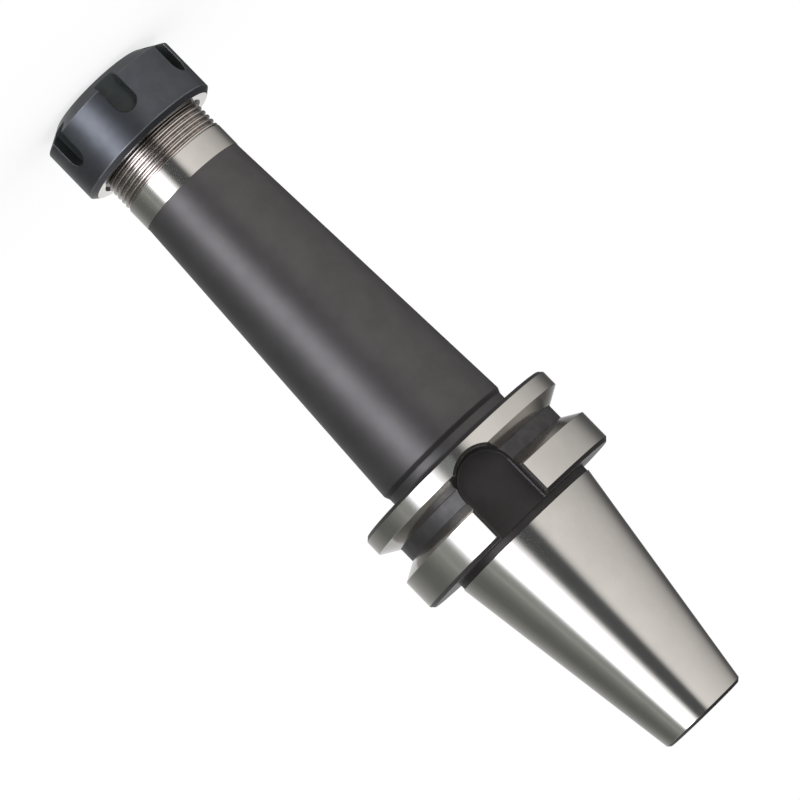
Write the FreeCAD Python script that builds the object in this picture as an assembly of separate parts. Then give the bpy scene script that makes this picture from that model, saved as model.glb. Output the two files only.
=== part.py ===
"""Collet chuck holder: a 7/24 taper shank with a long slim sleeve, an ER25 collet and its clamping nut.

Frame: millimetres, +Z along the spindle axis towards the taper's small end, origin at the centre of
the nut's front face, so the chuck stands upright on its nut. The drive slots look along -Y and +Y.
"""

import FreeCAD
import Part
import math
import os

# Taper shank, size 40
GAUGE_DIAMETER = 44.45
TAPER_RATIO = 7 / 24  # diameter per length
TAPER_LENGTH = 65.4
TAPER_END_CHAMFER = 0.8
RELIEF_WIDTH = 2.0  # undercut between the gauge plane and the flange
RELIEF_DEPTH = 0.3

# Pull stud socket in the taper's small end, M16 x 2
STUD_THREAD_DIAMETER = 13.83  # crest of the internal thread
STUD_THREAD_LENGTH = 24.0
STUD_PILOT_DIAMETER = 17.0
STUD_PILOT_DEPTH = 7.0

# Gripper flange
FLANGE_DIAMETER = 63.0
FLANGE_WIDTH = 25.0
FLANGE_CHAMFER = 1.0
GROOVE_TO_GAUGE = 16.6  # middle of the groove to the gauge plane
GROOVE_WIDTH = 10.0  # across its mouth
GROOVE_DEPTH = 5.0
GROOVE_FLANK_ANGLE = 30.0  # each flank, from square to the axis

# Drive slots, one on each side
DRIVE_SLOT_COUNT = 2
DRIVE_SLOT_WIDTH = 16.1
DRIVE_SLOT_LENGTH = 21.2  # from the flange's rear face to the round end
DRIVE_SLOT_FLOOR = 22.6  # from the axis
DRIVE_SLOT_CHAMFER = 0.8

# Sleeve between the flange and the nut
GAUGE_TO_NUT_FACE = 158.7
NECK_DIAMETER = 39.4
NECK_WIDTH = 3.7
NECK_FLARE = 1.3  # 45 degree flare into the flange
SLEEVE_BACK_DIAMETER = 40.6
SLEEVE_FRONT_DIAMETER = 31.7
COLLAR_DIAMETER = 32.0
COLLAR_LENGTH = 7.0

# Clamping thread, M32 x 1.5, with its crests left off both plain walls
THREAD_DIAMETER = 32.0
THREAD_PITCH = 1.5
THREAD_LENGTH = 18.8
THREAD_DEPTH_FACTOR = 0.6134  # depth over pitch
THREAD_ROOT_GAP = 0.05
NOSE_CHAMFER = 0.8

# Bores of the holder
BACK_BORE_DIAMETER = 17.0
BACK_BORE_DEPTH = 54.0
SEAT_OVERRUN = 2.0  # seat cone past the collet's back end
COOLANT_BORE_DIAMETER = 10.0
DRILL_POINT_ANGLE = 59.0  # from the axis

# Collet, ER25
COLLET_LENGTH = 34.0
COLLET_DIAMETER = 26.0
COLLET_CONE_ANGLE = 8.0
COLLET_BORE_DIAMETER = 16.0
COLLET_RIM_WIDTH = 0.5  # cylindrical rim at the cone's large end
NOSE_CONE_ANGLE = 30.0
COLLET_FACE_DIAMETER = 20.4
NOSE_CONE_LENGTH = 4.4
NOSE_LAND_WIDTH = 0.6
COLLET_GROOVE_WIDTH = 2.6
COLLET_GROOVE_DIAMETER = 22.4
SLIT_COUNT = 8  # from each end
SLIT_WIDTH = 1.0
FRONT_SLIT_WEB = 4.5  # left whole at the back end
BACK_SLIT_WEB = 8.6  # left whole at the front end
COLLET_RECESS = 0.6  # collet face behind the nut face
COLLET_STAND_OUT = 0.6  # large end of the cone ahead of the holder's nose
SEAT_CLEARANCE = 0.05

# Clamping nut
NUT_DIAMETER = 42.0
NUT_LENGTH = 20.0
NUT_FACE_DIAMETER = 30.0
NUT_FRONT_ANGLE = 30.0  # front cone, from square to the axis
NUT_BACK_CHAMFER_RADIAL = 1.6
NUT_BACK_CHAMFER_AXIAL = 1.3
NUT_TURN = -93.7  # direction of the first spanner slot, in degrees about +Z from +X
SPANNER_SLOT_COUNT = 6
SPANNER_SLOT_WIDTH = 6.1
SPANNER_SLOT_LENGTH = 12.8
SPANNER_SLOT_FLOOR = 17.5  # from the axis
LIP_WIDTH = 1.9  # eccentric ring that hooks into the collet's groove
LIP_ECCENTRICITY = 0.6
LIP_CLEARANCE = 0.15
NUT_CHAMBER_WIDTH = 1.8  # thread run-out behind the lip
NUT_THREAD_CHAMFER = 0.8

OVERCUT = 1.0

# Radii
gauge_radius = GAUGE_DIAMETER / 2
taper_end_radius = (GAUGE_DIAMETER - TAPER_RATIO * TAPER_LENGTH) / 2
flange_radius = FLANGE_DIAMETER / 2
thread_depth = THREAD_DEPTH_FACTOR * THREAD_PITCH
thread_root_radius = THREAD_DIAMETER / 2 - thread_depth
nut_thread_radius = THREAD_DIAMETER / 2 + THREAD_ROOT_GAP
collet_radius = COLLET_DIAMETER / 2
cone_slope = math.tan(math.radians(COLLET_CONE_ANGLE))
nose_slope = math.tan(math.radians(NOSE_CONE_ANGLE))
nose_land_radius = COLLET_FACE_DIAMETER / 2 + NOSE_CONE_LENGTH * nose_slope
cone_gap = SEAT_CLEARANCE / math.cos(math.radians(COLLET_CONE_ANGLE))
nose_gap = SEAT_CLEARANCE / math.cos(math.radians(NOSE_CONE_ANGLE))

# Heights, from the nut's face up
collet_back_z = COLLET_RECESS + COLLET_LENGTH
collet_groove_z = COLLET_RECESS + NOSE_CONE_LENGTH + NOSE_LAND_WIDTH
collet_rim_z = collet_groove_z + COLLET_GROOVE_WIDTH
collet_cone_z = collet_rim_z + COLLET_RIM_WIDTH
holder_nose_z = collet_cone_z + COLLET_STAND_OUT
thread_end_z = holder_nose_z + THREAD_LENGTH
collar_end_z = thread_end_z + COLLAR_LENGTH
gauge_z = GAUGE_TO_NUT_FACE
flange_back_z = gauge_z - RELIEF_WIDTH
flange_front_z = flange_back_z - FLANGE_WIDTH
sleeve_end_z = flange_front_z - NECK_WIDTH
groove_z = gauge_z - GROOVE_TO_GAUGE
small_end_z = gauge_z + TAPER_LENGTH
seat_end_z = collet_back_z + SEAT_OVERRUN
back_bore_end_z = seat_end_z + BACK_BORE_DEPTH
stud_pilot_z = small_end_z - STUD_PILOT_DEPTH
stud_thread_z = stud_pilot_z - STUD_THREAD_LENGTH


def turned(*outline):
    """Solid of revolution about Z of a closed outline, given as (radius, height) points."""
    corners = [FreeCAD.Vector(radius, 0, height) for radius, height in outline]
    face = Part.Face(Part.makePolygon(corners + corners[:1]))
    return face.revolve(FreeCAD.Vector(0, 0, 0), FreeCAD.Vector(0, 0, 1), 360)


def around(shape, count, first_angle=0.0):
    """Copies of a shape spaced evenly about Z, the first one turned by first_angle degrees."""
    copies = []
    for number in range(count):
        copy = shape.copy()
        copy.rotate(FreeCAD.Vector(0, 0, 0), FreeCAD.Vector(0, 0, 1), first_angle + number * 360 / count)
        copies.append(copy)
    return copies


def end_milled_slot(width, floor, depth, open_z, end_z):
    """Cutter for a slot in the +X side of a turned part: flat floor at this distance from the axis,
    open at open_z and with a half-round end at end_z."""
    radius = width / 2
    inward = math.copysign(1, open_z - end_z)
    round_z = end_z + inward * radius
    corners = [
        FreeCAD.Vector(floor, radius, round_z),
        FreeCAD.Vector(floor, radius, open_z + inward * OVERCUT),
        FreeCAD.Vector(floor, -radius, open_z + inward * OVERCUT),
        FreeCAD.Vector(floor, -radius, round_z),
    ]
    edges = [Part.makeLine(start, end) for start, end in zip(corners, corners[1:])]
    edges.append(Part.Arc(corners[3], FreeCAD.Vector(floor, 0, end_z), corners[0]).toShape())
    return Part.Face(Part.Wire(edges)).extrude(FreeCAD.Vector(depth, 0, 0))


def with_chamfered_slots(body, radius, low_z, high_z, size):
    """Chamfers the edges that slots leave in a cylinder of this radius, strictly between two heights."""
    edges = []
    for edge in body.Edges:
        middle = edge.valueAt((edge.FirstParameter + edge.LastParameter) / 2)
        on_cylinder = abs(math.hypot(middle.x, middle.y) - radius) < 1e-4
        if on_cylinder and low_z < middle.z < high_z and not is_seam(edge, body):
            edges.append(edge)
    return body.makeChamfer(size, edges)


def is_seam(edge, body):
    """True for the closing line of a single cylindrical face."""
    return len(body.ancestorsOfType(edge, Part.Face)) < 2


def collet_cone_radius(height):
    """Radius of the collet's long cone at a height."""
    return collet_radius - (height - collet_cone_z) * cone_slope


def seat_radius(height):
    """Radius of the holder's seat at a height."""
    return collet_cone_radius(height) + cone_gap


def nut_seat_radius(height):
    """Radius of the nut's front seat at a height."""
    return COLLET_FACE_DIAMETER / 2 + (height - COLLET_RECESS) * nose_slope + nose_gap


def drill_point(radius, smaller_radius):
    """Length of the cone that a drill leaves between two radii."""
    return (radius - smaller_radius) / math.tan(math.radians(DRILL_POINT_ANGLE))


def flange():
    """Gripper flange with its drive slots and V groove, on a solid core."""
    blank = turned(
        (0, flange_front_z),
        (flange_radius, flange_front_z),
        (flange_radius, flange_back_z),
        (0, flange_back_z),
    )
    cutter = end_milled_slot(
        DRIVE_SLOT_WIDTH,
        DRIVE_SLOT_FLOOR,
        flange_radius,
        flange_back_z,
        flange_back_z - DRIVE_SLOT_LENGTH,
    )
    slotted = blank.cut(around(cutter, DRIVE_SLOT_COUNT, -90))
    body = with_chamfered_slots(slotted, flange_radius, flange_front_z, flange_back_z, DRIVE_SLOT_CHAMFER)
    return body.cut([gripper_groove(), rim_cutter(flange_front_z, 1), rim_cutter(flange_back_z, -1)])


def gripper_groove():
    """Ring that cuts the V groove."""
    mouth_half = GROOVE_WIDTH / 2
    floor_half = mouth_half - GROOVE_DEPTH * math.tan(math.radians(GROOVE_FLANK_ANGLE))
    return turned(
        (flange_radius - GROOVE_DEPTH, groove_z - floor_half),
        (flange_radius, groove_z - mouth_half),
        (flange_radius + OVERCUT, groove_z - mouth_half),
        (flange_radius + OVERCUT, groove_z + mouth_half),
        (flange_radius, groove_z + mouth_half),
        (flange_radius - GROOVE_DEPTH, groove_z + floor_half),
    )


def rim_cutter(face_z, inward):
    """Ring that chamfers the flange's rim at one of its faces."""
    inner_radius = flange_radius - FLANGE_CHAMFER
    slope_end = face_z + inward * FLANGE_CHAMFER
    outside_z = face_z - inward * OVERCUT
    return turned(
        (inner_radius, face_z),
        (flange_radius, slope_end),
        (flange_radius + OVERCUT, slope_end),
        (flange_radius + OVERCUT, outside_z),
        (inner_radius, outside_z),
    )


def sleeve():
    """Nose, collar and long slim cone, up to the flange."""
    neck_radius = NECK_DIAMETER / 2
    step = SLEEVE_BACK_DIAMETER / 2 - neck_radius
    collar_radius = COLLAR_DIAMETER / 2
    return turned(
        (0, holder_nose_z),
        (thread_root_radius - NOSE_CHAMFER, holder_nose_z),
        (thread_root_radius, holder_nose_z + NOSE_CHAMFER),
        (thread_root_radius, thread_end_z),
        (collar_radius, thread_end_z),
        (collar_radius, collar_end_z),
        (SLEEVE_FRONT_DIAMETER / 2, collar_end_z),
        (SLEEVE_BACK_DIAMETER / 2, sleeve_end_z - step),
        (neck_radius, sleeve_end_z),
        (neck_radius, flange_front_z - NECK_FLARE),
        (neck_radius + NECK_FLARE, flange_front_z),
        (neck_radius + NECK_FLARE, flange_front_z + OVERCUT),
        (0, flange_front_z + OVERCUT),
    )


def taper_shank():
    """Undercut neck and 7/24 taper."""
    relief_radius = gauge_radius - RELIEF_DEPTH
    chamfer_slope = TAPER_END_CHAMFER * TAPER_RATIO / 2
    return turned(
        (0, flange_back_z - OVERCUT),
        (relief_radius, flange_back_z - OVERCUT),
        (relief_radius, gauge_z),
        (gauge_radius, gauge_z),
        (taper_end_radius + chamfer_slope, small_end_z - TAPER_END_CHAMFER),
        (taper_end_radius - TAPER_END_CHAMFER, small_end_z),
        (0, small_end_z),
    )


def holder_bores():
    """Collet seat, back bore, coolant bore and pull stud socket, as one cutter."""
    back_radius = BACK_BORE_DIAMETER / 2
    coolant_radius = COOLANT_BORE_DIAMETER / 2
    thread_radius = STUD_THREAD_DIAMETER / 2
    pilot_radius = STUD_PILOT_DIAMETER / 2
    return turned(
        (0, holder_nose_z - OVERCUT),
        (seat_radius(holder_nose_z - OVERCUT), holder_nose_z - OVERCUT),
        (seat_radius(seat_end_z), seat_end_z),
        (back_radius, seat_end_z),
        (back_radius, back_bore_end_z),
        (coolant_radius, back_bore_end_z + drill_point(back_radius, coolant_radius)),
        (coolant_radius, stud_thread_z - drill_point(thread_radius, coolant_radius)),
        (thread_radius, stud_thread_z),
        (thread_radius, stud_pilot_z),
        (pilot_radius, stud_pilot_z),
        (pilot_radius, small_end_z + OVERCUT),
        (0, small_end_z + OVERCUT),
    )


def holder_body():
    """Taper, flange and sleeve, turned and ground from one bar, with its bores."""
    return flange().fuse([sleeve(), taper_shank()]).cut(holder_bores()).removeSplitter()


def slit(length, start_z):
    """Radial saw cut from the axis outwards along +X."""
    corner = FreeCAD.Vector(0, -SLIT_WIDTH / 2, start_z)
    return Part.makeBox(COLLET_DIAMETER, SLIT_WIDTH, length, corner)


def collet():
    """Spring collet: nose cone, puller groove, long cone and slits from both ends by turns."""
    bore_radius = COLLET_BORE_DIAMETER / 2
    groove_radius = COLLET_GROOVE_DIAMETER / 2
    blank = turned(
        (bore_radius, COLLET_RECESS),
        (COLLET_FACE_DIAMETER / 2, COLLET_RECESS),
        (nose_land_radius, COLLET_RECESS + NOSE_CONE_LENGTH),
        (nose_land_radius, collet_groove_z),
        (groove_radius, collet_groove_z),
        (groove_radius, collet_rim_z),
        (collet_radius, collet_rim_z),
        (collet_radius, collet_cone_z),
        (collet_cone_radius(collet_back_z), collet_back_z),
        (bore_radius, collet_back_z),
    )
    front_length = COLLET_LENGTH - FRONT_SLIT_WEB + OVERCUT
    back_length = COLLET_LENGTH - BACK_SLIT_WEB + OVERCUT
    front_slits = around(slit(front_length, COLLET_RECESS - OVERCUT), SLIT_COUNT)
    back_slits = around(slit(back_length, COLLET_RECESS + BACK_SLIT_WEB), SLIT_COUNT, 180 / SLIT_COUNT)
    return blank.cut(front_slits + back_slits)


def nut_bore():
    """Front seat, thread chamber and thread wall of the nut, as one cutter."""
    seat_end = collet_groove_z + LIP_CLEARANCE
    lip_end = collet_groove_z + LIP_CLEARANCE + LIP_WIDTH
    chamber_radius = nut_thread_radius + THREAD_ROOT_GAP + thread_depth / 2
    chamber_end = lip_end + NUT_CHAMBER_WIDTH
    front = turned(
        (0, -OVERCUT),
        (nut_seat_radius(-OVERCUT), -OVERCUT),
        (nut_seat_radius(seat_end), seat_end),
        (0, seat_end),
    )
    back = turned(
        (0, lip_end),
        (chamber_radius, lip_end),
        (chamber_radius, chamber_end),
        (nut_thread_radius, chamber_end),
        (nut_thread_radius, NUT_LENGTH - NUT_THREAD_CHAMFER),
        (nut_thread_radius + NUT_THREAD_CHAMFER, NUT_LENGTH),
        (nut_thread_radius + NUT_THREAD_CHAMFER, NUT_LENGTH + OVERCUT),
        (0, NUT_LENGTH + OVERCUT),
    )
    lip_opening = Part.makeCylinder(
        nose_land_radius + LIP_CLEARANCE,
        LIP_WIDTH,
        FreeCAD.Vector(LIP_ECCENTRICITY, 0, seat_end),
    )
    return front.fuse([lip_opening, back])


def clamping_nut():
    """Slotted round nut with a front cone, spanner slots and an eccentric pulling lip."""
    radius = NUT_DIAMETER / 2
    face_radius = NUT_FACE_DIAMETER / 2
    cone_height = (radius - face_radius) * math.tan(math.radians(NUT_FRONT_ANGLE))
    blank = Part.makeCylinder(radius, NUT_LENGTH)
    cutter = end_milled_slot(SPANNER_SLOT_WIDTH, SPANNER_SLOT_FLOOR, radius, 0, SPANNER_SLOT_LENGTH)
    spanner_slots = around(cutter, SPANNER_SLOT_COUNT)
    front_cone = turned(
        (face_radius, 0),
        (radius, cone_height),
        (radius + OVERCUT, cone_height),
        (radius + OVERCUT, -OVERCUT),
        (face_radius, -OVERCUT),
    )
    back_chamfer = turned(
        (radius - NUT_BACK_CHAMFER_RADIAL, NUT_LENGTH),
        (radius, NUT_LENGTH - NUT_BACK_CHAMFER_AXIAL),
        (radius + OVERCUT, NUT_LENGTH - NUT_BACK_CHAMFER_AXIAL),
        (radius + OVERCUT, NUT_LENGTH + OVERCUT),
        (radius - NUT_BACK_CHAMFER_RADIAL, NUT_LENGTH + OVERCUT),
    )
    nut = blank.cut(spanner_slots + [front_cone, back_chamfer, nut_bore()])
    nut.rotate(FreeCAD.Vector(0, 0, 0), FreeCAD.Vector(0, 0, 1), NUT_TURN)
    return nut


def main():
    """Writes one STEP file for each piece."""
    os.makedirs("parts", exist_ok=True)
    holder_body().exportStep("parts/holder_body.step")
    collet().exportStep("parts/collet.step")
    clamping_nut().exportStep("parts/clamping_nut.step")


main()
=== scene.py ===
"""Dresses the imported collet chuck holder: fine turned surfaces, threads, slots and their finishes."""

import math

import bpy
from mathutils import Matrix, Vector


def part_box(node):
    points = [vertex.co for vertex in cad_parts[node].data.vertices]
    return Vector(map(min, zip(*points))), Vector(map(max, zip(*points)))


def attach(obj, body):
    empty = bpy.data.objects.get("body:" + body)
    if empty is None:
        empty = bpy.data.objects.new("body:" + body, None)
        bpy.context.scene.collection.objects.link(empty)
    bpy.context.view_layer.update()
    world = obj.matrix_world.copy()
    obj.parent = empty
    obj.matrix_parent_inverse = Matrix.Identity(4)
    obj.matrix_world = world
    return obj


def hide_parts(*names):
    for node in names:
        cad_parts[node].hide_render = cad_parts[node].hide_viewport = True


bl_info = {
    "name": "Collet Chuck Holder",
    "version": (1, 0, 0),
    "blender": (4, 5, 0),
    "location": "View3D > Sidebar > Chuck",
    "description": "Models and finishes a collet chuck holder around its packed solids",
    "category": "Object",
}

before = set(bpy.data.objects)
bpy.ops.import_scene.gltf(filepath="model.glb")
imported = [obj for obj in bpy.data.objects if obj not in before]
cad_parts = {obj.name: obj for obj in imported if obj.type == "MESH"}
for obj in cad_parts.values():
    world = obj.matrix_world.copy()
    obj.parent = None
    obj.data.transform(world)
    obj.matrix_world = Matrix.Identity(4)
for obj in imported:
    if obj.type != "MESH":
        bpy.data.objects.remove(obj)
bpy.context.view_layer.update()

MM = 0.001
holder_low, holder_high = (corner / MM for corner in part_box("holder_body"))
nut_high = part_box("clamping_nut")[1] / MM
collet_low, collet_high = (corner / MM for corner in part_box("collet"))

# Heights and radii below are millimetres, from the nut's face up and from the spindle axis out.
NOSE_Z = holder_low.z
SMALL_END_Z = holder_high.z
END_CHAMFER = 0.8
END_CHAMFER_Z = SMALL_END_Z - END_CHAMFER + 0.05
GAUGE_Z = SMALL_END_Z - 65.4
GAUGE_RADIUS = 22.225
TAPER_SLOPE = 7 / 48
SMALL_END_RADIUS = GAUGE_RADIUS - (SMALL_END_Z - GAUGE_Z) * TAPER_SLOPE
RELIEF_RADIUS = 21.925
FLANGE_BACK_Z = GAUGE_Z - 2.0
FLANGE_FRONT_Z = FLANGE_BACK_Z - 25.0
FLANGE_RADIUS = 31.5
FLANGE_RIM = 1.0
GROOVE_Z = GAUGE_Z - 16.6
GROOVE_MOUTH = 5.0
GROOVE_DEPTH = 5.0
GROOVE_FLOOR_HALF = GROOVE_MOUTH - GROOVE_DEPTH * math.tan(math.radians(30))
DRIVE_SLOT_WIDTH = 16.1
DRIVE_SLOT_FLOOR = 22.6
DRIVE_SLOT_RUB = 0.16
DRIVE_SLOT_ROUND_Z = FLANGE_BACK_Z - 21.2 + DRIVE_SLOT_WIDTH / 2
NECK_RADIUS = 19.7
NECK_FRONT_Z = FLANGE_FRONT_Z - 3.7
NECK_SHOULDER = 1.4
SLEEVE_BACK_RADIUS = 20.3
SLEEVE_FRONT_RADIUS = 15.85
COLLAR_RADIUS = 16.0
THREAD_END_Z = NOSE_Z + 18.8
NOSE_CHAMFER = 0.8
COLLAR_END_Z = THREAD_END_Z + 7.0
THREAD_ROOT_RADIUS = 15.08
THREAD_CREST_RADIUS = 15.9
NUT_THREAD_RADIUS = 16.05
NUT_THREAD_CREST_RADIUS = 15.2
THREAD_PITCH = 1.5
BACK_BORE_RADIUS = 8.5
SEAT_END_Z = collet_high.z + 2.0
BACK_BORE_END_Z = SEAT_END_Z + 54.0
COOLANT_RADIUS = 5.0
STUD_PILOT_RADIUS = 8.5
STUD_PILOT_Z = SMALL_END_Z - 7.0
STUD_THREAD_Z = STUD_PILOT_Z - 24.0
STUD_ROOT_RADIUS = 8.0
STUD_CREST_RADIUS = 6.915
STUD_PITCH = 2.0
COLLET_FACE_Z = collet_low.z
COLLET_BACK_Z = collet_high.z
COLLET_RADIUS = 13.0
COLLET_BORE_RADIUS = 8.0
COLLET_FACE_RADIUS = 10.2
COLLET_LAND_RADIUS = 12.74
COLLET_GROOVE_RADIUS = 11.2
COLLET_LAND_Z = COLLET_FACE_Z + 4.4
COLLET_GROOVE_Z = COLLET_LAND_Z + 0.6
COLLET_RIM_Z = COLLET_GROOVE_Z + 2.6
COLLET_CONE_Z = COLLET_RIM_Z + 0.5
COLLET_SLOPE = math.tan(math.radians(8))
SEAT_GAP = 0.05
NUT_RADIUS = 21.0
NUT_END_Z = nut_high.z
NUT_FACE_RADIUS = 15.0
NUT_CONE_Z = (NUT_RADIUS - NUT_FACE_RADIUS) * math.tan(math.radians(30))
NUT_LIP_Z = COLLET_GROOVE_Z + 0.15
NUT_LIP_END_Z = NUT_LIP_Z + 1.9
NUT_BACK_RADIAL = 1.6
NUT_BACK_AXIAL = 1.3
NUT_THREAD_CHAMFER = 0.8
NUT_BLANK_LIP_RADIUS = 12.0
NUT_CHAMBER_RADIUS = 16.56
NUT_CHAMBER_END_Z = NUT_LIP_END_Z + 1.8
SPANNER_SLOT_ANGLE = -93.7
SPANNER_SLOT_WIDTH = 6.1
SPANNER_SLOT_FLOOR = 17.5
SPANNER_SLOT_FILLET = 0.3
SPANNER_SLOT_RUB = 0.08
SPANNER_SLOT_ROUND_Z = 12.8 - SPANNER_SLOT_WIDTH / 2
MERGE = 1e-6


# Sizes and colours that a user would change


class ChuckSizes(bpy.types.PropertyGroup):
    edge_break: bpy.props.FloatProperty(
        name="Edge Break",
        description="Radius on the turned edges",
        default=0.00018,
        unit="LENGTH",
    )
    neck_fillet: bpy.props.FloatProperty(
        name="Neck Fillet",
        description="Radius between the neck and the flange",
        default=0.0018,
        unit="LENGTH",
    )
    drive_chamfer: bpy.props.FloatProperty(
        name="Drive Slot Chamfer",
        description="Chamfer round the drive slots",
        default=0.0008,
        unit="LENGTH",
    )
    drive_fillet: bpy.props.FloatProperty(
        name="Drive Slot Fillet",
        description="Radius along the drive slots' floors",
        default=0.0009,
        unit="LENGTH",
    )
    spanner_chamfer: bpy.props.FloatProperty(
        name="Spanner Slot Chamfer",
        description="Chamfer round the nut's spanner slots",
        default=0.00025,
        unit="LENGTH",
    )
    segments: bpy.props.IntProperty(
        name="Segments",
        description="Steps round each turned piece",
        default=256,
        min=64,
    )


class ChuckFinishes(bpy.types.PropertyGroup):
    ground: bpy.props.FloatVectorProperty(
        name="Ground Steel",
        description="Colour of the ground taper, flange and collar",
        default=(0.64, 0.615, 0.585, 1.0),
        size=4,
        subtype="COLOR",
    )
    oxide: bpy.props.FloatVectorProperty(
        name="Sleeve Oxide",
        description="Colour of the black oxide on the holder",
        default=(0.1, 0.094, 0.096, 1.0),
        size=4,
        subtype="COLOR",
    )
    nut_oxide: bpy.props.FloatVectorProperty(
        name="Nut Oxide",
        description="Colour of the blue-black oxide on the nut",
        default=(0.086, 0.09, 0.103, 1.0),
        size=4,
        subtype="COLOR",
    )
    spring: bpy.props.FloatVectorProperty(
        name="Spring Steel",
        description="Colour of the collet",
        default=(0.6, 0.59, 0.575, 1.0),
        size=4,
        subtype="COLOR",
    )
    plain_light: bpy.props.FloatProperty(
        name="Plain Light",
        description="Level of the even light all round",
        default=0.85,
        min=0.0,
    )


# Modelling


def select_none():
    """Deselects every object."""
    bpy.ops.object.select_all(action="DESELECT")


def make_active(piece):
    """Selects one object alone."""
    select_none()
    piece.select_set(True)
    bpy.context.view_layer.objects.active = piece


def named(name):
    """Names the object that was just added."""
    piece = bpy.context.object
    piece.name = piece.data.name = name
    return piece


def softened(outline, steps=3):
    """Rounds the corners of a closed outline of (radius, height, corner radius) points."""
    rounded = []
    for number, (across, up, corner_radius) in enumerate(outline):
        corner = Vector((across, up))
        if not corner_radius:
            rounded.append(corner)
            continue
        before = Vector(outline[number - 1][:2]) - corner
        after = Vector(outline[(number + 1) % len(outline)][:2]) - corner
        half = before.angle(after) / 2
        reach = min(corner_radius / math.tan(half), before.length * 0.45, after.length * 0.45)
        middle = corner + (before.normalized() + after.normalized()).normalized() * (reach / math.cos(half))
        start = corner + before.normalized() * reach - middle
        end = corner + after.normalized() * reach - middle
        turn = start.angle_signed(end)
        for step in range(steps + 1):
            rounded.append(middle + Matrix.Rotation(-turn * step / steps, 2) @ start)
    return rounded


def drawn(name, outline):
    """A closed outline in the XZ plane, drawn edge by edge from one corner and left open in edit mode."""
    points = [Vector((point[0], 0, point[1])) * MM for point in outline]
    select_none()
    bpy.ops.mesh.primitive_plane_add(size=MM)
    piece = named(name)
    bpy.ops.object.mode_set(mode="EDIT")
    bpy.ops.mesh.select_mode(type="VERT")
    bpy.ops.mesh.select_all(action="SELECT")
    bpy.ops.mesh.merge(type="CENTER")
    bpy.ops.transform.translate(value=points[0])
    for start, end in zip(points, points[1:] + points[:1]):
        bpy.ops.mesh.extrude_region_move(TRANSFORM_OT_translate={"value": end - start})
    bpy.ops.mesh.select_all(action="SELECT")
    bpy.ops.mesh.remove_doubles(threshold=MERGE)
    return piece


def turned(name, outline, segments):
    """A closed outline spun all the way round the spindle axis."""
    piece = drawn(name, outline)
    bpy.ops.mesh.spin(steps=segments, angle=math.tau, center=(0, 0, 0), axis=(0, 0, 1))
    bpy.ops.mesh.select_all(action="SELECT")
    bpy.ops.mesh.remove_doubles(threshold=MERGE)
    bpy.ops.mesh.normals_make_consistent(inside=False)
    bpy.ops.object.mode_set(mode="OBJECT")
    return piece


def apply_modifier(piece, kind, **settings):
    """Adds a modifier and applies it."""
    make_active(piece)
    bpy.ops.object.modifier_add(type=kind)
    modifier = piece.modifiers[-1]
    for name, value in settings.items():
        setattr(modifier, name, value)
    bpy.ops.object.modifier_apply(modifier=modifier.name)


def cut(piece, cutters):
    """Takes the cutters out of a piece, with the finishes that they leave."""
    for cutter in cutters:
        apply_modifier(
            piece,
            "BOOLEAN",
            operation="DIFFERENCE",
            solver="EXACT",
            material_mode="TRANSFER",
            object=cutter,
        )
        bpy.data.objects.remove(cutter)


def finish_shading(piece, angle=30.0):
    """Smooth shading that the large faces lead, with every edge over the angle left sharp."""
    make_active(piece)
    bpy.ops.object.shade_smooth_by_angle(angle=math.radians(angle))
    apply_modifier(piece, "WEIGHTED_NORMAL", keep_sharp=True, weight=80)


def faces_out(face):
    """True where a face looks away from the spindle axis."""
    return face.normal.x * face.center.x + face.normal.y * face.center.y > 0


def faces_in(face):
    """True where a face looks towards the spindle axis."""
    return face.normal.x * face.center.x + face.normal.y * face.center.y < 0


def is_turned(face, radius):
    """True where a face belongs to a surface of revolution, not to a slot."""
    return abs(face.normal.cross(face.center).z) < 0.02 * radius * MM


def select_faces(piece, test):
    """Selects the faces whose centre's radius and height, and normal, pass a test."""
    make_active(piece)
    bpy.ops.object.mode_set(mode="EDIT")
    bpy.ops.mesh.select_mode(type="FACE")
    bpy.ops.mesh.select_all(action="DESELECT")
    bpy.ops.object.mode_set(mode="OBJECT")
    for face in piece.data.polygons:
        radius = math.hypot(face.center.x, face.center.y) / MM
        face.select = bool(test(face, radius, face.center.z / MM))
    bpy.ops.object.mode_set(mode="EDIT")


def paint_faces(piece, material, test):
    """Gives the faces that pass a test their own finish."""
    index = piece.data.materials.find(material.name)
    if index < 0:
        piece.data.materials.append(material)
        index = len(piece.data.materials) - 1
    select_faces(piece, test)
    piece.active_material_index = index
    bpy.ops.object.material_slot_assign()
    bpy.ops.object.mode_set(mode="OBJECT")


def helix(name, profile, pitch, low_z, high_z, segments=128):
    """A right-hand thread ridge with its profile in the XZ plane, cut off square at two heights."""
    start = low_z - (1 + profile_height(profile) / pitch) * pitch
    turns = math.ceil((high_z - start) / pitch) + 1
    piece = drawn(name, [(across, up + start) for across, up in profile])
    bpy.ops.object.mode_set(mode="OBJECT")
    apply_modifier(
        piece,
        "SCREW",
        axis="Z",
        angle=math.tau,
        screw_offset=pitch * MM,
        iterations=turns,
        steps=segments,
        render_steps=segments,
        use_merge_vertices=False,
        use_normal_calculate=True,
    )
    bpy.ops.object.mode_set(mode="EDIT")
    for height, side in ((low_z, -1), (high_z, 1)):
        bpy.ops.mesh.select_all(action="SELECT")
        bpy.ops.mesh.bisect(
            plane_co=(0, 0, height * MM),
            plane_no=(0, 0, side),
            use_fill=True,
            clear_outer=True,
            threshold=MERGE / 10,
        )
    bpy.ops.mesh.select_all(action="SELECT")
    bpy.ops.mesh.remove_doubles(threshold=MERGE)
    bpy.ops.mesh.normals_make_consistent(inside=False)
    bpy.ops.object.mode_set(mode="OBJECT")
    return piece


def profile_height(profile):
    """Height of a profile of (radius, height) points."""
    heights = [point[1] for point in profile]
    return max(heights) - min(heights)


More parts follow.
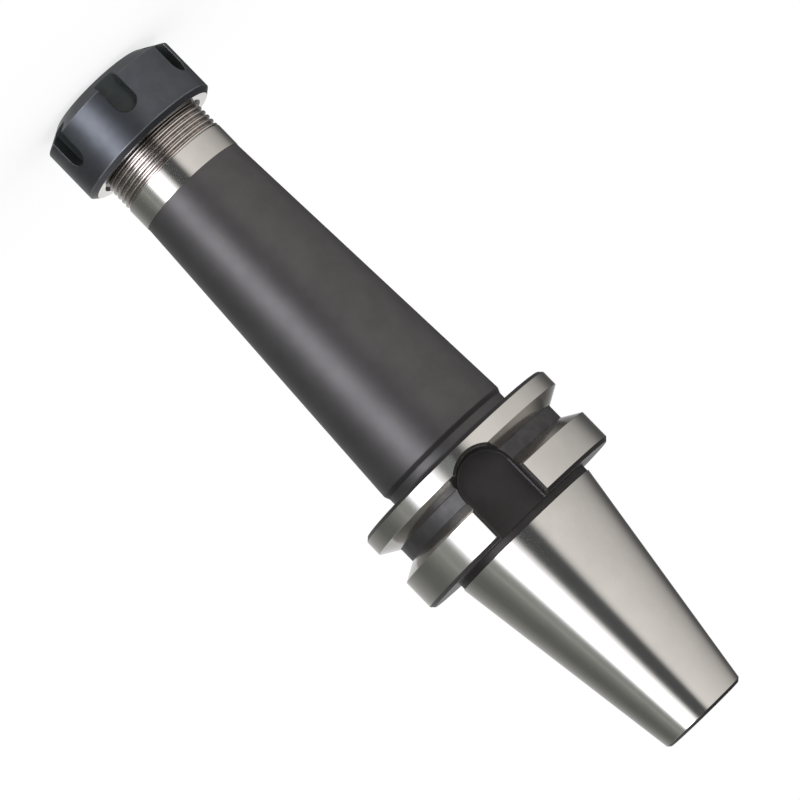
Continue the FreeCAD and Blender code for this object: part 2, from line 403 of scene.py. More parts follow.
def ridge(foot_radius, crest_radius, crest_width, centre, rounding):
    """Profile of a thread ridge with 30 degree flanks, its foot sunk a little into the wall."""
    sunk = math.copysign(0.04, foot_radius - crest_radius)
    foot_half = crest_width / 2 + abs(crest_radius - foot_radius - sunk) * math.tan(math.radians(30))
    return softened(
        [
            (foot_radius + sunk, centre - foot_half, 0),
            (crest_radius, centre - crest_width / 2, rounding),
            (crest_radius, centre + crest_width / 2, rounding),
            (foot_radius + sunk, centre + foot_half, 0),
        ],
        steps=2,
    )


def slot_cutter(name, direction, width, floor, round_z, open_z, edges, surface, finishes, stations=()):
    """Closed cutter for a slot with a half-round end, square to the axis at a direction in degrees.
    edges holds the radius along its floor, the width of the edge band over its walls, which takes the
    finish of wear and painted glints, and its chamfer. surface(height) is the radius of the turned
    surface that it opens in, and the flare that leaves the chamfer follows that surface round."""
    floor_fillet, rub, chamfer = edges
    half = width / 2
    toward = math.copysign(1, round_z - open_z)
    heights = [open_z, *stations, round_z]
    outline = [((half, height), (1, 0)) for height in heights]
    arc_steps = 40
    for step in range(1, arc_steps):
        angle = math.pi * step / arc_steps
        normal = (math.cos(angle), toward * math.sin(angle))
        outline.append(((half * normal[0], round_z + half * normal[1]), normal))
    outline += [((-half, height), (-1, 0)) for height in reversed(heights)]

    def on_surface(across, up):
        return math.sqrt(max(surface(up) ** 2 - across**2, 0))

    fillet_steps = 3
    columns = []
    for (across, up), normal in outline:
        column = []
        for step in range(fillet_steps + 1):
            turn = math.pi / 2 * step / fillet_steps
            inset = floor_fillet * (1 - math.sin(turn))
            depth = floor + floor_fillet * (1 - math.cos(turn))
            column.append((depth, across - inset * normal[0], up - inset * normal[1]))
        brim = max(on_surface(across, up) - chamfer, column[-1][0] + rub + 0.02)
        column.append((brim - rub, across, up))
        band = Vector((brim, across + 0.4 * rub * normal[0], up + 0.4 * rub * normal[1]))
        edge_across, edge_up = across + chamfer * normal[0], up + chamfer * normal[1]
        edge = Vector((max(on_surface(edge_across, edge_up), brim + 0.01), edge_across, edge_up))
        flare = band + (edge - band) * 1.5
        column += [tuple(band), tuple(flare), (surface(round_z) * 1.2, flare.y, flare.z)]
        columns.append(column)
    rings = list(zip(*columns))
    count = len(outline)
    faces = [list(range(count)), list(range((len(rings) - 1) * count, len(rings) * count))]
    finish_numbers = [0, 0]
    for level in range(len(rings) - 1):
        for number in range(count):
            following = (number + 1) % count
            faces.append(
                [
                    level * count + number,
                    level * count + following,
                    (level + 1) * count + following,
                    (level + 1) * count + number,
                ]
            )
            finish_numbers.append({fillet_steps + 1: 1, fillet_steps + 2: 2}.get(level, 0))
    mesh = bpy.data.meshes.new(name)
    mesh.from_pydata([Vector(point) * MM for ring in rings for point in ring], [], faces)
    mesh.polygons.foreach_set("material_index", finish_numbers)
    for finish in finishes:
        mesh.materials.append(finish)
    mesh.transform(Matrix.Rotation(math.radians(direction), 4, "Z"))
    cutter = bpy.data.objects.new(name, mesh)
    bpy.context.scene.collection.objects.link(cutter)
    make_active(cutter)
    bpy.ops.object.mode_set(mode="EDIT")
    bpy.ops.mesh.select_all(action="SELECT")
    bpy.ops.mesh.normals_make_consistent(inside=False)
    bpy.ops.object.mode_set(mode="OBJECT")
    return cutter


# Shaders


class Value:
    """A node's output, on which Python's operators add Math nodes."""

    def __init__(self, shader, socket):
        self.shader = shader
        self.socket = socket

    def __add__(self, other):
        return self.shader.math("ADD", self, other)

    __radd__ = __add__

    def __sub__(self, other):
        return self.shader.math("SUBTRACT", self, other)

    def __rsub__(self, other):
        return self.shader.math("SUBTRACT", other, self)

    def __mul__(self, other):
        return self.shader.math("MULTIPLY", self, other)

    __rmul__ = __mul__

    def __truediv__(self, other):
        return self.shader.math("DIVIDE", self, other)

    def __rtruediv__(self, other):
        return self.shader.math("DIVIDE", other, self)


class Shader:
    """The node tree of a material or a world."""

    def __init__(self, tree):
        self.tree = tree
        tree.nodes.clear()

    def node(self, kind, settings=None, inputs=None):
        """Adds a node: first its settings, then the values or links of its sockets."""
        node = self.tree.nodes.new(kind)
        for name, value in (settings or {}).items():
            if name == "stops":
                self.place_stops(node.color_ramp, value)
            else:
                setattr(node, name, value)
        for name, value in (inputs or {}).items():
            if isinstance(value, Value):
                self.tree.links.new(value.socket, node.inputs[name])
            else:
                node.inputs[name].default_value = value
        return node

    def out(self, kind, output=0, settings=None, inputs=None):
        """Adds a node and returns one of its outputs."""
        return Value(self, self.node(kind, settings, inputs).outputs[output])

    @staticmethod
    def place_stops(ramp, stops):
        """Sets a ramp's stops, given as (position, colour)."""
        while len(ramp.elements) < len(stops):
            ramp.elements.new(1.0)
        for element, (position, colour) in zip(ramp.elements, stops):
            element.position = position
            element.color = colour

    def math(self, operation, *operands, clamp=False):
        settings = {"operation": operation, "use_clamp": clamp}
        return self.out("ShaderNodeMath", settings=settings, inputs=dict(enumerate(operands)))

    def mix(self, factor, first, second):
        """Mixes two colours."""
        return self.out(
            "ShaderNodeMix",
            output=2,
            settings={"data_type": "RGBA"},
            inputs={0: factor, 6: first, 7: second},
        )

    def smooth(self, value, low, high, from_value=0.0, to_value=1.0):
        """Eases from one value to another between two limits of a value."""
        return self.out(
            "ShaderNodeMapRange",
            settings={"interpolation_type": "SMOOTHSTEP"},
            inputs={0: value, 1: low, 2: high, 3: from_value, 4: to_value},
        )

    def noise(self, vector, scale, detail=2.0, roughness=0.5):
        return self.out(
            "ShaderNodeTexNoise",
            inputs={"Vector": vector, "Scale": scale, "Detail": detail, "Roughness": roughness},
        )

    def place(self):
        """Keeps the Object coordinates, and from them x, the radius and the height in millimetres."""
        self.vector = self.out("ShaderNodeTexCoord", output="Object")
        parts = self.node("ShaderNodeSeparateXYZ", inputs={0: self.vector})
        across, deep, up = (Value(self, socket) / MM for socket in parts.outputs)
        self.across, self.height = across, up
        self.radius = self.math("SQRT", across * across + deep * deep)

    def rings(self, scale, drift=0.06):
        """Noise that runs round the axis like the marks of turning or grinding."""
        vector = self.out(
            "ShaderNodeCombineXYZ", inputs={0: self.radius, 1: self.height, 2: self.across * drift}
        )
        return self.noise(vector, scale, detail=3.0, roughness=0.6)

    def mottled(self, noise, limits, colour, other):
        """Eases from one colour to another between two limits of a noise."""
        return self.mix(self.smooth(noise, *limits), colour, other)

    def line(self, value, centre, half_width):
        """1 on a value and 0 past a half width either side of it."""
        distance = self.math("ABSOLUTE", value - centre)
        return self.smooth(distance, half_width * 0.5, half_width, 1.0, 0.0)

    def surface(self, bump=None, **inputs):
        """Principled surface, with a bump of (height, depth in metres) if given."""
        if bump is not None:
            height, depth = bump
            inputs["Normal"] = self.out(
                "ShaderNodeBump", inputs={"Height": height, "Distance": depth, "Strength": 1.0}
            )
        names = {name.replace("_", " "): value for name, value in inputs.items()}
        surface = self.out("ShaderNodeBsdfPrincipled", inputs=names)
        self.node("ShaderNodeOutputMaterial", inputs={0: surface})


def grey(level, tint=(1.0, 1.0, 1.0)):
    return tuple(level * channel for channel in tint) + (1.0,)


def dimmed(colour, factor):
    """A colour times a factor."""
    return tuple(channel * factor for channel in colour[:3]) + (1.0,)


def build_ground_steel(shader, finishes):
    """Ground steel: fine marks round the axis, faint stains and a little warmth."""
    shader.place()
    marks = shader.rings(9.0)
    fine = shader.rings(38.0, 0.4)
    stains = shader.noise(shader.vector, 60.0, detail=5.0, roughness=0.6)
    colour = shader.mottled(stains, (0.35, 0.75), tuple(finishes.ground), dimmed(finishes.ground, 0.9))
    colour = shader.mix(shader.smooth(fine, 0.3, 0.8, 0.0, 0.16), colour, (0.32, 0.31, 0.3, 1.0))
    shader.surface(
        Base_Color=colour,
        Metallic=1.0,
        Roughness=0.1 + marks * 0.05 + stains * 0.03,
        bump=(fine + marks * 0.6, 0.0000006),
    )


def build_bore_steel(shader, finishes):
    """Bored and tapped steel, duller than the ground surfaces."""
    shader.place()
    marks = shader.rings(14.0)
    stains = shader.noise(shader.vector, 180.0, detail=4.0)
    colour = shader.mottled(stains, (0.3, 0.7), (0.36, 0.35, 0.33, 1.0), (0.26, 0.25, 0.24, 1.0))
    shader.surface(
        Base_Color=colour,
        Metallic=1.0,
        Roughness=0.3 + marks * 0.12,
        bump=(marks, 0.000004),
    )


def build_sleeve_oxide(shader, finishes):
    """Satin black oxide over turned steel: warm charcoal, slightly mottled."""
    shader.place()
    marks = shader.rings(12.0)
    grain = shader.noise(shader.vector, 2600.0, detail=3.0, roughness=0.65)
    cloud = shader.noise(shader.vector, 140.0, detail=4.0, roughness=0.6)
    base = tuple(finishes.oxide)
    colour = shader.mottled(cloud, (0.3, 0.7), base, dimmed(base, 0.87))
    colour = shader.mix(shader.smooth(grain, 0.45, 0.8, 0.0, 0.35), colour, (0.11, 0.103, 0.1, 1.0))
    shader.surface(
        Base_Color=colour,
        Metallic=0.75,
        Roughness=0.38 + cloud * 0.04 + grain * 0.06,
        bump=(grain * 0.7 + marks, 0.000005),
    )


def build_milled_oxide(shader, dark, pale):
    """Black oxide of milled and of back faces, darker and smoother than the turned kinds."""
    shader.place()
    cloud = shader.noise(shader.vector, 260.0, detail=4.0, roughness=0.6)
    grain = shader.noise(shader.vector, 3000.0, detail=2.0)
    shader.surface(
        Base_Color=shader.mottled(cloud, (0.3, 0.7), pale + (1.0,), dark + (1.0,)),
        Metallic=0.6,
        Roughness=0.38 + cloud * 0.08,
        bump=(grain + cloud, 0.000004),
    )


def build_deep_oxide(shader, finishes):
    """Milled oxide of the drive slots and of the undercut."""
    build_milled_oxide(shader, (0.04, 0.035, 0.035), (0.045, 0.042, 0.042))


def build_groove_oxide(shader, finishes):
    """Oxide on the floor of the tool changer's groove."""
    build_milled_oxide(shader, (0.05, 0.047, 0.048), (0.075, 0.072, 0.074))


def build_cool_oxide(shader, finishes):
    """Milled oxide of the nut's spanner slots."""
    build_milled_oxide(shader, (0.034, 0.04, 0.04), (0.048, 0.055, 0.054))


def build_nut_oxide(shader, finishes):
    """Blue-black oxide on a finely turned nut, with faint bright lines along its edges that are partly wear
    and partly painted highlight.
    """
    shader.place()
    marks = shader.rings(16.0)
    grain = shader.noise(shader.vector, 3200.0, detail=3.0, roughness=0.6)
    cloud = shader.noise(shader.vector, 160.0, detail=4.0, roughness=0.6)
    base = tuple(finishes.nut_oxide)
    colour = shader.mottled(cloud, (0.3, 0.7), base, dimmed(base, 0.8))
    # Painted highlight, partly wear: faint bright lines on the front corner and the back chamfer edge of the
    # nut's rim, broken up by the cloud noise.
    on_rim = shader.smooth(shader.radius, NUT_RADIUS - 0.25, NUT_RADIUS - 0.12)
    corner = shader.line(shader.height, NUT_CONE_Z, 0.22) * on_rim
    back = shader.line(shader.height, NUT_END_Z - NUT_BACK_AXIAL, 0.25) * on_rim
    wear_and_highlight_lines = shader.math("MAXIMUM", corner, back) * shader.smooth(cloud, 0.35, 0.6, 0.05, 0.3)
    colour = shader.mix(wear_and_highlight_lines, colour, (0.5, 0.5, 0.52, 1.0))
    shader.surface(
        Base_Color=colour,
        Metallic=0.8,
        Roughness=0.3 + cloud * 0.05 + grain * 0.04,
        bump=(grain * 0.6 + marks, 0.000004),
    )


def build_thread_steel(shader, finishes):
    """Bright thread steel, a little brown in its valleys, lighter on its crests as partly wear and partly
    painted highlight, and with painted shade just behind the nut's back face.
    """
    shader.place()
    grain = shader.noise(shader.vector, 700.0, detail=4.0, roughness=0.65)
    # Lighter crests: partly wear, partly a painted highlight along the crest lines.
    crest = shader.smooth(shader.radius, THREAD_CREST_RADIUS - 0.2, THREAD_CREST_RADIUS - 0.03)
    valley = shader.mottled(grain, (0.35, 0.7), (0.55, 0.49, 0.46, 1.0), (0.36, 0.32, 0.3, 1.0))
    colour = shader.mix(crest, valley, (0.68, 0.65, 0.62, 1.0))
    # Painted shadow of the nut: the thread is darkened over the turns just behind the nut's back face.
    painted_nut_shadow = shader.smooth(shader.height, NUT_END_Z + 0.3, NUT_END_Z + 1.9, 0.65, 0.0)
    colour = shader.mix(painted_nut_shadow, colour, (0.12, 0.11, 0.105, 1.0))
    shader.surface(
        Base_Color=colour,
        Metallic=1.0,
        Roughness=0.17 + grain * 0.1,
        bump=(grain, 0.000004),
    )


def build_slot_edge(shader, finishes):
    """Edge of a milled slot: flecks of bare steel that are partly wear and partly painted glints, with fine
    breaks.
    """
    shader.place()
    chip_and_glint_noise = shader.noise(shader.vector, 1800.0, detail=3.0, roughness=0.7)
    patches = shader.noise(shader.vector, 200.0, detail=2.0)
    # Painted glints, partly wear: flecks of bright steel on the dark oxide edge.
    bare_steel_and_glints = shader.smooth(chip_and_glint_noise + patches * 0.6, 0.6, 0.85)
    colour = shader.mix(bare_steel_and_glints, (0.07, 0.068, 0.068, 1.0), (0.62, 0.6, 0.58, 1.0))
    shader.surface(
        Base_Color=colour,
        Metallic=0.9,
        Roughness=0.28 + chip_and_glint_noise * 0.1,
        bump=(chip_and_glint_noise, 0.000008),
    )


def build_spring_steel(shader, finishes):
    """Fine ground spring steel of the collet."""
    shader.place()
    marks = shader.rings(16.0)
    stains = shader.noise(shader.vector, 150.0, detail=4.0)
    colour = shader.mottled(stains, (0.35, 0.7), tuple(finishes.spring), dimmed(finishes.spring, 0.85))
    shader.surface(
        Base_Color=colour,
        Metallic=1.0,
        Roughness=0.2 + marks * 0.1,
        bump=(marks, 0.0000015),
    )


def build_floor(shader, finishes):
    """Nearly white floor that keeps a faint shadow."""
    lit = shader.out("ShaderNodeBsdfDiffuse", inputs={0: grey(1.0)})
    glow = shader.out("ShaderNodeEmission", inputs={0: grey(1.0), 1: 1.08})
    shader.node(
        "ShaderNodeOutputMaterial",
        inputs={0: shader.out("ShaderNodeMixShader", inputs={0: 0.7, 1: lit, 2: glow})},
    )


FINISHES = {
    "ground steel": build_ground_steel,
    "bored steel": build_bore_steel,
    "satin black oxide": build_sleeve_oxide,
    "deep black oxide": build_deep_oxide,
    "groove black oxide": build_groove_oxide,
    "cool black oxide": build_cool_oxide,
    "blue-black oxide": build_nut_oxide,
    "thread steel with wear and painted shade": build_thread_steel,
    "slot edge with wear and painted glints": build_slot_edge,
    "ground spring steel": build_spring_steel,
    "pale floor": build_floor,
}


def finish(name):
    """The finish of that name, built the first time that it is asked for."""
    material = bpy.data.materials.get(name)
    if material is None:
        material = bpy.data.materials.new(name)
        material.use_nodes = True
        FINISHES[name](Shader(material.node_tree), bpy.context.scene.chuck_finishes)
    return material


# Pieces


def seat_radius(height):
    """Radius of the holder's collet seat at a height."""
    gap = SEAT_GAP / math.cos(math.radians(8))
    return COLLET_RADIUS - (height - COLLET_CONE_Z) * COLLET_SLOPE + gap


def nut_seat_radius(height):
    """Radius of the nut's front seat at a height."""
    gap = SEAT_GAP / math.cos(math.radians(30))
    return COLLET_FACE_RADIUS + (height - COLLET_FACE_Z) * math.tan(math.radians(30)) + gap


def holder_outline(sizes):
    """Outline of the holder: up the outside from the nose, and down its bores."""
    soft = sizes.edge_break / MM
    drill = math.tan(math.radians(59))
    outside = [
        (seat_radius(NOSE_Z), NOSE_Z, 0.1),
        (THREAD_ROOT_RADIUS - NOSE_CHAMFER, NOSE_Z, 0),
        (THREAD_ROOT_RADIUS, NOSE_Z + NOSE_CHAMFER, 0),
        (THREAD_ROOT_RADIUS, THREAD_END_Z, 0),
        (COLLAR_RADIUS - 0.25, THREAD_END_Z, 0),
        (COLLAR_RADIUS, THREAD_END_Z + 0.25, 0),
        (COLLAR_RADIUS, COLLAR_END_Z, 0.08),
        (SLEEVE_FRONT_RADIUS, COLLAR_END_Z, 0),
        (SLEEVE_BACK_RADIUS, NECK_FRONT_Z - NECK_SHOULDER / 2, 1.0),
        (NECK_RADIUS, NECK_FRONT_Z + NECK_SHOULDER / 2, 1.0),
        (NECK_RADIUS, FLANGE_FRONT_Z, sizes.neck_fillet / MM),
        (FLANGE_RADIUS - FLANGE_RIM, FLANGE_FRONT_Z, soft),
        (FLANGE_RADIUS, FLANGE_FRONT_Z + FLANGE_RIM, soft),
        (FLANGE_RADIUS, GROOVE_Z - GROOVE_MOUTH, soft),
        (FLANGE_RADIUS - GROOVE_DEPTH, GROOVE_Z - GROOVE_FLOOR_HALF, 0.3),
        (FLANGE_RADIUS - GROOVE_DEPTH, GROOVE_Z + GROOVE_FLOOR_HALF, 0.3),
        (FLANGE_RADIUS, GROOVE_Z + GROOVE_MOUTH, soft),
        (FLANGE_RADIUS, FLANGE_BACK_Z - FLANGE_RIM, soft),
        (FLANGE_RADIUS - FLANGE_RIM, FLANGE_BACK_Z, soft),
        (RELIEF_RADIUS, FLANGE_BACK_Z, 0.3),
        (RELIEF_RADIUS, GAUGE_Z, 0),
        (GAUGE_RADIUS, GAUGE_Z, 0.1),
        (SMALL_END_RADIUS + END_CHAMFER * TAPER_SLOPE, SMALL_END_Z - END_CHAMFER, soft),
        (SMALL_END_RADIUS - END_CHAMFER, SMALL_END_Z, soft),
    ]
    inside = [
        (STUD_PILOT_RADIUS + 0.5, SMALL_END_Z, 0),
        (STUD_PILOT_RADIUS, SMALL_END_Z - 0.5, 0),
        (STUD_PILOT_RADIUS, STUD_PILOT_Z, 0),
        (STUD_ROOT_RADIUS, STUD_PILOT_Z, 0),
        (STUD_ROOT_RADIUS, STUD_THREAD_Z, 0),
        (STUD_CREST_RADIUS, STUD_THREAD_Z, 0),
        (COOLANT_RADIUS, STUD_THREAD_Z - (STUD_CREST_RADIUS - COOLANT_RADIUS) / drill, 0),
        (COOLANT_RADIUS, BACK_BORE_END_Z + (BACK_BORE_RADIUS - COOLANT_RADIUS) / drill, 0),
        (BACK_BORE_RADIUS, BACK_BORE_END_Z, 0),
        (BACK_BORE_RADIUS, SEAT_END_Z, 0.2),
        (seat_radius(SEAT_END_Z), SEAT_END_Z, 0.2),
    ]
    return softened(outside + inside)


class CHUCK_OT_holder(bpy.types.Operator):
    """Turns the holder, mills its drive slots and finishes it"""

    bl_idname = "chuck.holder"
    bl_label = "Holder"

    def execute(self, context):
        sizes = context.scene.chuck_sizes
        holder = turned("holder", holder_outline(sizes), sizes.segments)
        holder.data.materials.append(finish("satin black oxide"))
        cut(
            holder,
            [
                slot_cutter(
                    "drive slot",
                    direction,
                    DRIVE_SLOT_WIDTH,
                    DRIVE_SLOT_FLOOR,
                    DRIVE_SLOT_ROUND_Z,
                    FLANGE_BACK_Z + 1.0,
                    (sizes.drive_fillet / MM, DRIVE_SLOT_RUB, sizes.drive_chamfer / MM),
                    lambda height: FLANGE_RADIUS,
                    (finish("deep black oxide"), finish("slot edge with wear and painted glints"), finish("deep black oxide")),
                )
                for direction in (-90, 90)
            ],
        )
        paint_faces(holder, finish("ground steel"), self.is_ground)
        paint_faces(holder, finish("bored steel"), self.is_bore)
        paint_faces(holder, finish("deep black oxide"), self.is_undercut)
        paint_faces(holder, finish("groove black oxide"), self.is_groove_floor)
        paint_faces(holder, finish("thread steel with wear and painted shade"), self.is_thread_root)
        finish_shading(holder)
        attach(holder, "holder")
        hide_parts("holder_body")
        return {"FINISHED"}

    @staticmethod
    def is_ground(face, radius, height):
        """Ground faces: taper, flange lands and flanks, collar and collet seat."""
        taper = GAUGE_Z < height < END_CHAMFER_Z and faces_out(face) and radius > SMALL_END_RADIUS - 0.09
        flange = (
            radius > FLANGE_RADIUS - GROOVE_DEPTH + 0.3
            and FLANGE_FRONT_Z + FLANGE_RIM - 0.02 < height < FLANGE_BACK_Z - FLANGE_RIM + 0.02
            and is_turned(face, radius)
        )
        collar = THREAD_END_Z - 0.1 < height < COLLAR_END_Z + 0.01 and radius > SLEEVE_FRONT_RADIUS - 0.6
        seat = height < SEAT_END_Z and faces_in(face)
        return taper or flange or (collar and faces_out(face)) or seat

    @staticmethod
    def is_undercut(face, radius, height):
        """Rear rim, rear face and undercut of the flange, and the shank's end chamfer."""
        rear = FLANGE_BACK_Z - FLANGE_RIM + 0.02 < height < GAUGE_Z and radius > RELIEF_RADIUS - 0.1
        front = FLANGE_FRONT_Z - 0.1 < height < FLANGE_FRONT_Z + FLANGE_RIM - 0.02 and radius > RELIEF_RADIUS
        return rear or front or (height > END_CHAMFER_Z and radius > SMALL_END_RADIUS - 1)

    @staticmethod
    def is_groove_floor(face, radius, height):
        """Floor of the groove in the flange, without the drive slots."""
        on_floor = -0.5 < radius - (FLANGE_RADIUS - GROOVE_DEPTH) < 0.3
        return on_floor and abs(height - GROOVE_Z) < GROOVE_FLOOR_HALF + 0.2 and is_turned(face, radius)

    @staticmethod
    def is_thread_root(face, radius, height):
        """Root of the clamping thread."""
        return abs(radius - THREAD_ROOT_RADIUS) < 0.1 and height < THREAD_END_Z

    @staticmethod
    def is_bore(face, radius, height):
        """Bored faces behind the seat and in the pull stud socket."""
        return height > SEAT_END_Z - 0.1 and radius < STUD_PILOT_RADIUS + 0.6


class CHUCK_OT_threads(bpy.types.Operator):
    """Cuts the clamping thread and the pull stud thread of the holder"""

    bl_idname = "chuck.threads"
    bl_label = "Holder Threads"

    def execute(self, context):
        clamping = helix(
            "clamping_thread",
            ridge(THREAD_ROOT_RADIUS, THREAD_CREST_RADIUS, 0.3, 0.0, 0.07),
            THREAD_PITCH,
            NOSE_Z + NOSE_CHAMFER,
            THREAD_END_Z,
        )
        clamping.data.materials.append(finish("thread steel with wear and painted shade"))
        stud = helix(
            "stud_thread",
            ridge(STUD_ROOT_RADIUS, STUD_CREST_RADIUS, 0.5, 0.0, 0.07),
            STUD_PITCH,
            STUD_THREAD_Z,
            STUD_PILOT_Z,
            96,
        )
        stud.data.materials.append(finish("bored steel"))
        finish_shading(clamping, 25.0)
        finish_shading(stud, 25.0)
        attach(clamping, "holder")
        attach(stud, "holder")
        return {"FINISHED"}


def collet_outline(sizes):
    """Outline of the collet: up the outside from its face, and down its bore."""
    soft = sizes.edge_break / MM
    back_radius = COLLET_RADIUS - (COLLET_BACK_Z - COLLET_CONE_Z) * COLLET_SLOPE
    return softened(
        [
            (COLLET_BORE_RADIUS + 0.3, COLLET_FACE_Z, 0),
            (COLLET_FACE_RADIUS, COLLET_FACE_Z, soft),
            (COLLET_LAND_RADIUS, COLLET_LAND_Z, soft),
            (COLLET_LAND_RADIUS, COLLET_GROOVE_Z, soft / 2),
            (COLLET_GROOVE_RADIUS, COLLET_GROOVE_Z, 0.3),
            (COLLET_GROOVE_RADIUS, COLLET_RIM_Z, 0.3),
            (COLLET_RADIUS, COLLET_RIM_Z, soft / 2),
            (COLLET_RADIUS, COLLET_CONE_Z, 0),
            (back_radius, COLLET_BACK_Z, soft),
            (COLLET_BORE_RADIUS + 0.3, COLLET_BACK_Z, 0),
            (COLLET_BORE_RADIUS, COLLET_BACK_Z - 0.3, 0),
            (COLLET_BORE_RADIUS, COLLET_FACE_Z + 0.3, 0),
        ]
    )


def slits(name, first_angle, low_z, high_z):
    """Eight saw cuts round the collet, as one cutter."""
    blades = []
    for number in range(8):
        angle = math.radians(first_angle + number * 45)
        select_none()
        bpy.ops.mesh.primitive_cube_add(
            size=MM,
            location=Vector((10 * math.cos(angle), 10 * math.sin(angle), (low_z + high_z) / 2)) * MM,
            rotation=(0, 0, angle),
            scale=(9, 1, high_z - low_z),
        )
        blades.append(named(name))
    select_none()
    for blade in blades:
        blade.select_set(True)
    bpy.context.view_layer.objects.active = blades[0]
    bpy.ops.object.join()
    bpy.ops.object.transform_apply()
    blades[0].data.materials.append(finish("ground spring steel"))
    return blades[0]


class CHUCK_OT_collet(bpy.types.Operator):
    """Turns the spring collet and saws its slits"""

    bl_idname = "chuck.collet"
    bl_label = "Collet"

    def execute(self, context):
        sizes = context.scene.chuck_sizes
        collet = turned("spring_collet", collet_outline(sizes), 192)
        collet.data.materials.append(finish("ground spring steel"))
        cut(
            collet,
            [
                slits("front slits", 0, COLLET_FACE_Z - 1, COLLET_BACK_Z - 4.5),
                slits("back slits", 22.5, COLLET_FACE_Z + 8.6, COLLET_BACK_Z + 1),
            ],
        )
        finish_shading(collet)
        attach(collet, "collet")
        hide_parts("collet")
        return {"FINISHED"}


def nut_outline(sizes):
    """Outline of the nut: up the outside from its face, and down its thread, lip and seat."""
    soft = sizes.edge_break / MM
    return softened(
        [
            (nut_seat_radius(0) + 0.2, 0, 0),
            (NUT_FACE_RADIUS, 0, soft),
            (NUT_RADIUS, NUT_CONE_Z, soft),
            (NUT_RADIUS, NUT_END_Z - NUT_BACK_AXIAL, soft),
            (NUT_RADIUS - NUT_BACK_RADIAL, NUT_END_Z, soft),
            (NUT_THREAD_RADIUS + NUT_THREAD_CHAMFER, NUT_END_Z, 0),
            (NUT_THREAD_RADIUS, NUT_END_Z - NUT_THREAD_CHAMFER, 0),
            (NUT_THREAD_RADIUS, NUT_CHAMBER_END_Z, 0),
            (NUT_CHAMBER_RADIUS, NUT_CHAMBER_END_Z, 0),
            (NUT_CHAMBER_RADIUS, NUT_LIP_END_Z, 0),
            (NUT_BLANK_LIP_RADIUS, NUT_LIP_END_Z, 0),
            (NUT_BLANK_LIP_RADIUS, NUT_LIP_Z, 0),
            (nut_seat_radius(NUT_LIP_Z), NUT_LIP_Z, 0),
            (nut_seat_radius(0.2), 0.2, 0),
        ]
    )


def nut_surface(height):
    """Radius of the nut's front cone and of the cylinder behind it."""
    return min(NUT_RADIUS, NUT_FACE_RADIUS + height / math.tan(math.radians(30)))


class CHUCK_OT_nut(bpy.types.Operator):
    """Turns the clamping nut, mills its spanner slots and cuts its thread"""

    bl_idname = "chuck.nut"
    bl_label = "Clamping Nut"

    def execute(self, context):
        sizes = context.scene.chuck_sizes
        nut = turned("nut_shell", nut_outline(sizes), sizes.segments)
        nut.data.materials.append(finish("blue-black oxide"))
        cut(nut, [self.lip_opening()])
        cut(
            nut,
            [
                slot_cutter(
                    "spanner slot",
                    SPANNER_SLOT_ANGLE + number * 60,
                    SPANNER_SLOT_WIDTH,
                    SPANNER_SLOT_FLOOR,
                    SPANNER_SLOT_ROUND_Z,
                    -1.0,
                    (SPANNER_SLOT_FILLET, SPANNER_SLOT_RUB, sizes.spanner_chamfer / MM),
                    nut_surface,
                    (finish("cool black oxide"), finish("slot edge with wear and painted glints"), finish("blue-black oxide")),
                    stations=(1.2, 1.6, 2.2, 2.8, NUT_CONE_Z),
                )
                for number in range(6)
            ],
        )
        paint_faces(nut, finish("bored steel"), self.is_bore)
        paint_faces(nut, finish("ground steel"), self.is_ground)
        finish_shading(nut)
        thread = helix(
            "nut_thread",
            ridge(NUT_THREAD_RADIUS, NUT_THREAD_CREST_RADIUS, 0.25, THREAD_PITCH / 2, 0.05),
            THREAD_PITCH,
            NUT_CHAMBER_END_Z,
            NUT_END_Z - NUT_THREAD_CHAMFER - 0.15,
        )
        thread.data.materials.append(finish("bored steel"))
        finish_shading(thread, 25.0)
        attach(nut, "nut")
        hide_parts("clamping_nut")
        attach(thread, "nut")
        return {"FINISHED"}

    @staticmethod
    def lip_opening():
        """Cutter that opens the blank lip off centre."""
        direction = math.radians(SPANNER_SLOT_ANGLE)
        depth = NUT_LIP_END_Z + 0.8 - NUT_LIP_Z
        centre = Vector((0.6 * math.cos(direction), 0.6 * math.sin(direction), NUT_LIP_Z + depth / 2))
        select_none()
        bpy.ops.mesh.primitive_cylinder_add(
            vertices=192,
            radius=(COLLET_LAND_RADIUS + 0.15) * MM,
            depth=depth * MM,
            location=centre * MM,
        )
        cutter = named("lip opening")
        bpy.ops.object.transform_apply()
        cutter.data.materials.append(finish("bored steel"))
        return cutter

    @staticmethod
    def is_bore(face, radius, height):
        """Faces inside the nut."""
        inner = radius < NUT_THREAD_RADIUS + 0.9 and height > 0.01
        return inner and (faces_in(face) or abs(face.normal.z) > 0.9)

    @staticmethod
    def is_ground(face, radius, height):
        """The ground rear face."""
        return height > NUT_END_Z - 0.02 and face.normal.z > 0.9


# Stage


CAMERA_AZIMUTH = math.radians(4.3)
CAMERA_DISTANCE = 1.0969
CAMERA_HEIGHT = 0.192
CAMERA_TILT = math.radians(4.168)
CAMERA_ROLL = math.radians(135.83)
CAMERA_LENS = 192.4


